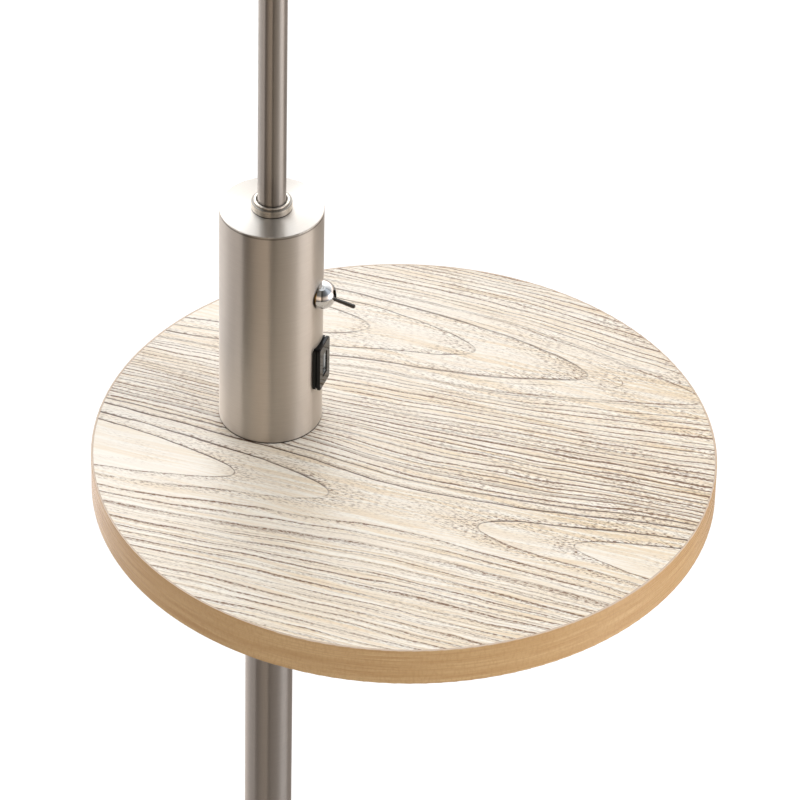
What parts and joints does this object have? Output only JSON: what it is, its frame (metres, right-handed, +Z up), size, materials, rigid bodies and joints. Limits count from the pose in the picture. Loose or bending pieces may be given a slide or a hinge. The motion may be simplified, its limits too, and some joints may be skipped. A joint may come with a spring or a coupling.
{
  "type": "shelf floor lamp",
  "caption": "Floor lamp with a round wood-look tray, a nickel housing with toggle switch and charging port on it, slim poles, a weighted round foot and a linen drum shade.",
  "frame": {"origin": "on the floor, on the axis of the poles, at the centre of the pad under the foot", "axes": "+Z up along the poles, +X from the poles the way the switch and the charging port face; the tray's centre lies 4 degrees to the right of +X, towards -Y"},
  "size_m": [0.3994, 0.351, 1.5],
  "materials": {
    "brushed_nickel": "brushed",
    "chrome": "polished",
    "ash_laminate": "satin",
    "edge_band": "satin",
    "core_board": "raw",
    "black_plastic": "gloss",
    "white_plastic": "matte",
    "green_board": "matte",
    "zinc_steel": "plated",
    "cast_iron": "as cast",
    "brass": "satin",
    "rubber": "matte",
    "lead_jacket": "matte",
    "linen": "woven",
    "shade_wire": "powder coated",
    "frosted_globe": "frosted"
  },
  "bodies": {
    "stand": {"base_pad": "rubber", "base_weight": "cast_iron", "base_cover": "brushed_nickel", "mains_gland": "rubber", "base_hub": "brushed_nickel", "base_pipe": "zinc_steel", "base_washer": "zinc_steel", "base_nut": "zinc_steel", "lower_pole": "brushed_nickel", "lower_pole_foot_insert": "zinc_steel", "lower_pole_head_insert": "zinc_steel", "tray_flange": "brushed_nickel", "tray_screws": "zinc_steel", "tray_board": "core_board", "tray_top_sheet": "ash_laminate", "tray_under_sheet": "ash_laminate", "tray_edge_band": "edge_band", "tray_pipe": "zinc_steel", "tray_washer": "zinc_steel", "tray_nut": "zinc_steel", "housing_cross_bar": "zinc_steel", "housing_shell": "brushed_nickel", "neck_collar": "brushed_nickel", "neck_pipe": "zinc_steel", "neck_washer": "zinc_steel", "neck_nut": "zinc_steel", "upper_pole": "brushed_nickel", "upper_pole_foot_insert": "zinc_steel", "upper_pole_head_insert": "zinc_steel", "switch_dome": "chrome", "switch_bushing": "brass", "switch_nut": "zinc_steel", "switch_body": "black_plastic", "switch_lugs": "brass", "port_bezel": "black_plastic", "port_shell": "zinc_steel", "port_tongue": "white_plastic", "port_contacts": "brass", "port_board": "green_board", "converter_block": "black_plastic", "port_lead": "lead_jacket", "lamp_lead": "lead_jacket", "socket_stud": "zinc_steel", "socket_cup": "brushed_nickel", "socket_body": "white_plastic", "screw_shell": "brass", "socket_contact": "brass", "ring_nut": "white_plastic", "bulb_cap": "zinc_steel", "bulb_body": "white_plastic", "bulb_globe": "frosted_globe", "shade_drum": "linen", "shade_top_ring": "shade_wire", "shade_spider": "shade_wire", "shade_top_hem": "linen", "shade_bottom_hem": "linen"},
    "lever": {"switch_lever": "chrome"}
  },
  "joints": [
    {"name": "switch_toggle", "type": "hinge", "parent": "stand", "child": "lever", "pos_m": [0.02585, 0, 0.6787], "axis": [0, -1, 0], "range_deg": [0, 20.5]}
  ]
}
